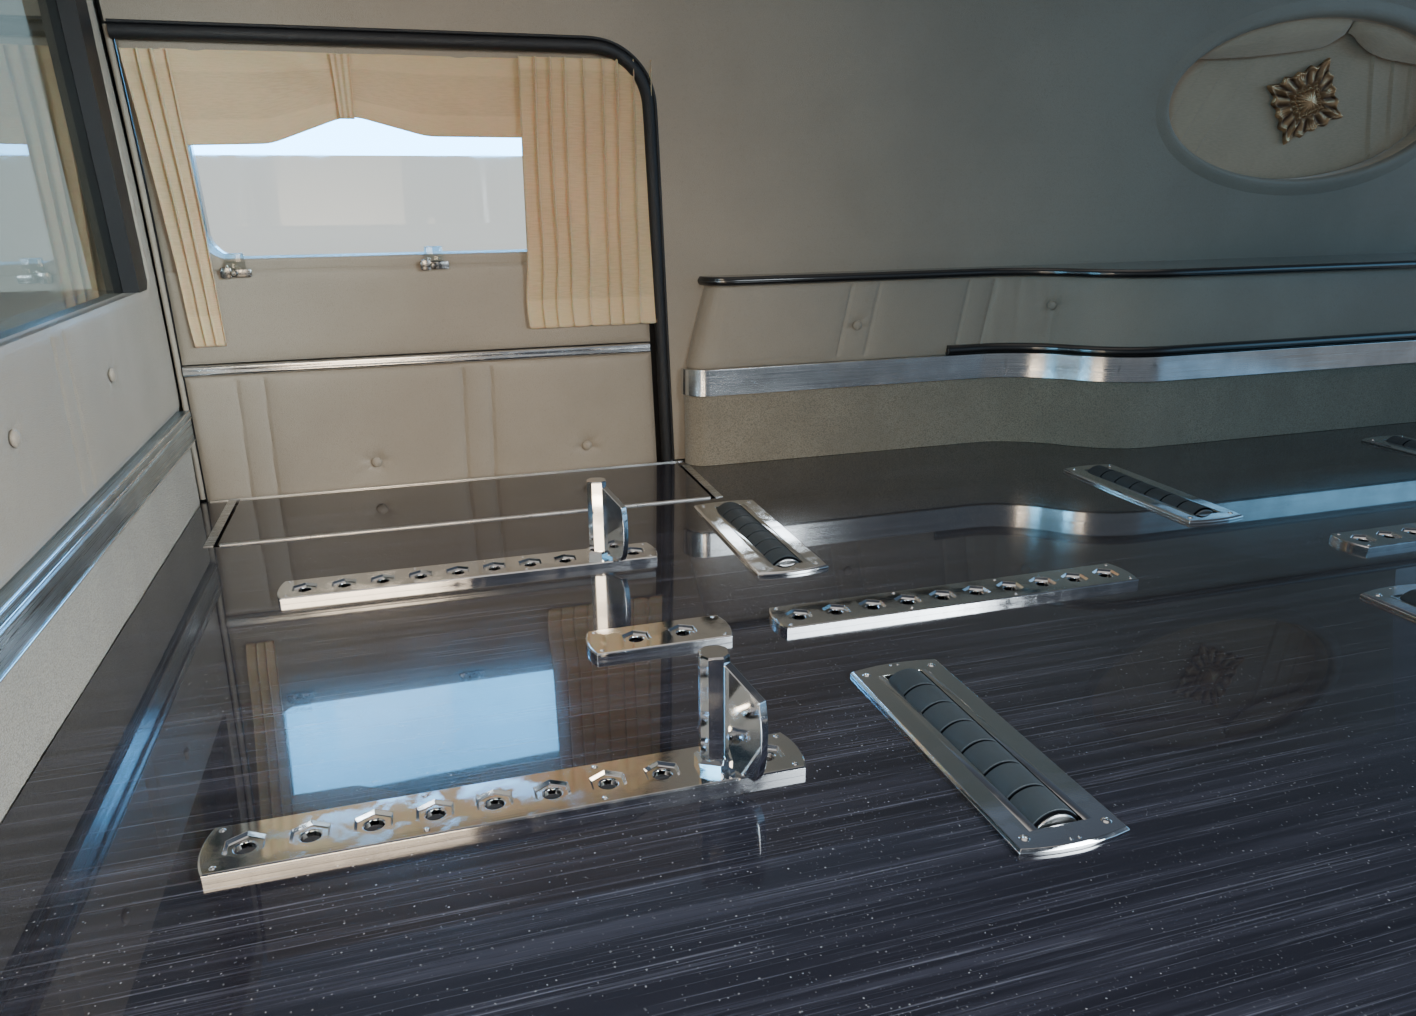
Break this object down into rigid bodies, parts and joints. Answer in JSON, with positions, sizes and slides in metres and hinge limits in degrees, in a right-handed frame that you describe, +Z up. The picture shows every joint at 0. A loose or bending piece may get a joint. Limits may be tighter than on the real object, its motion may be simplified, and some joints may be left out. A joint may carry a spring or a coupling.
{
  "type": "hearse casket compartment",
  "caption": "Casket compartment of a hearse: gloss deck with rollers and bier plates, front partition and curtained right side wall with a hinged door.",
  "frame": {"origin": "bottom face of the front floor beam, on the deck's centreline, straight below the partition's rear face", "axes": "+X to the vehicle's rear, +Y to its right-hand side wall, +Z up"},
  "size_m": [2.89, 1.763, 1.18],
  "materials": {
    "deck_laminate": "high gloss, fine grain",
    "frame_steel": "satin black paint",
    "batten_wood": "bare plywood",
    "satin_strip": "satin anodised",
    "hinge_steel": "plated",
    "chrome": "polished",
    "roller_rubber": "smooth, dusty",
    "seal_rubber": "matt black",
    "vinyl": "grained, satin",
    "carpet": "short cut pile",
    "curtain_cloth": "plain weave, gathered",
    "lining_cloth": "satin cloth",
    "ledge_gloss": "black lacquer",
    "body_paint": "gloss black",
    "glass": "green tint",
    "ornament_gold": "antique gold"
  },
  "bodies": {
    "root": {"bier_plate_centre_front": "chrome", "bier_plate_centre_rear": "chrome", "bier_plate_centre_short": "chrome", "bier_plate_left": "chrome", "bier_plate_right": "chrome", "deck_board": "deck_laminate", "deck_joists": "frame_steel", "deck_legs": "frame_steel", "deck_rails": "frame_steel", "door_hinges_fixed": "hinge_steel", "door_seal": "seal_rubber", "edge_strips": "satin_strip", "flap_battens": "batten_wood", "flap_hinges": "hinge_steel", "floor_beams": "frame_steel", "partition_carpet": "carpet", "partition_glass": "glass", "partition_pad": "vinyl", "partition_seal": "seal_rubber", "partition_strip": "satin_strip", "partition_wall": "vinyl", "quarter_carpet": "carpet", "quarter_ledge": "ledge_gloss", "quarter_pad": "vinyl", "quarter_rail": "ledge_gloss", "quarter_strip": "chrome", "recess_lining": "lining_cloth", "recess_ornament": "ornament_gold", "recess_rim": "vinyl", "roller_carriers": "chrome", "side_wall": "body_paint"},
    "door": {"door_curtain_front": "curtain_cloth", "door_curtain_rear": "curtain_cloth", "door_glass": "glass", "door_hinges_moving": "hinge_steel", "door_pad_lower": "vinyl", "door_pad_upper": "vinyl", "door_shell": "body_paint", "door_strip": "chrome", "door_valance": "curtain_cloth"},
    "flap_right": {"flap_right": "deck_laminate", "flap_right_leaf": "hinge_steel"},
    "pin_left": {"pin_left_pad": "chrome", "pin_left_post": "chrome"},
    "pin_right": {"pin_right_pad": "chrome", "pin_right_post": "chrome"},
    "roller_front_left": {"roller_front_left": "roller_rubber"},
    "roller_front_right": {"roller_front_right": "roller_rubber"},
    "roller_middle_left": {"roller_middle_left": "roller_rubber"},
    "roller_middle_right": {"roller_middle_right": "roller_rubber"},
    "roller_rear_left": {"roller_rear_left": "roller_rubber"},
    "roller_rear_right": {"roller_rear_right": "roller_rubber"}
  },
  "joints": [
    {"name": "roller_front_right_spin", "type": "hinge", "parent": "root", "child": "roller_front_right", "pos_m": [0.857, 0.313, 0.287], "axis": [0, 1, 0], "continuous": true},
    {"name": "roller_front_left_spin", "type": "hinge", "parent": "root", "child": "roller_front_left", "pos_m": [0.857, -0.313, 0.287], "axis": [0, 1, 0], "continuous": true},
    {"name": "roller_middle_right_spin", "type": "hinge", "parent": "root", "child": "roller_middle_right", "pos_m": [1.582, 0.313, 0.287], "axis": [0, 1, 0], "continuous": true},
    {"name": "roller_middle_left_spin", "type": "hinge", "parent": "root", "child": "roller_middle_left", "pos_m": [1.582, -0.313, 0.287], "axis": [0, 1, 0], "continuous": true},
    {"name": "roller_rear_right_spin", "type": "hinge", "parent": "root", "child": "roller_rear_right", "pos_m": [2.307, 0.313, 0.287], "axis": [0, 1, 0], "continuous": true},
    {"name": "roller_rear_left_spin", "type": "hinge", "parent": "root", "child": "roller_rear_left", "pos_m": [2.307, -0.313, 0.287], "axis": [0, 1, 0], "continuous": true},
    {"name": "flap_right_lift", "type": "hinge", "parent": "root", "child": "flap_right", "pos_m": [0.4565, 0.52, 0.3005], "axis": [1, 0, 0], "range_deg": [0, 90]},
    {"name": "pin_left_lift", "type": "slide", "parent": "root", "child": "pin_left", "axis": [0, 0, 1], "range_m": [0, 0.05]},
    {"name": "pin_right_lift", "type": "slide", "parent": "root", "child": "pin_right", "axis": [0, 0, 1], "range_m": [0, 0.05]},
    {"name": "door_swing", "type": "hinge", "parent": "root", "child": "door", "pos_m": [0.0025, 0.934, 0.3], "axis": [0, 0, 1], "range_deg": [0, 68]}
  ]
}
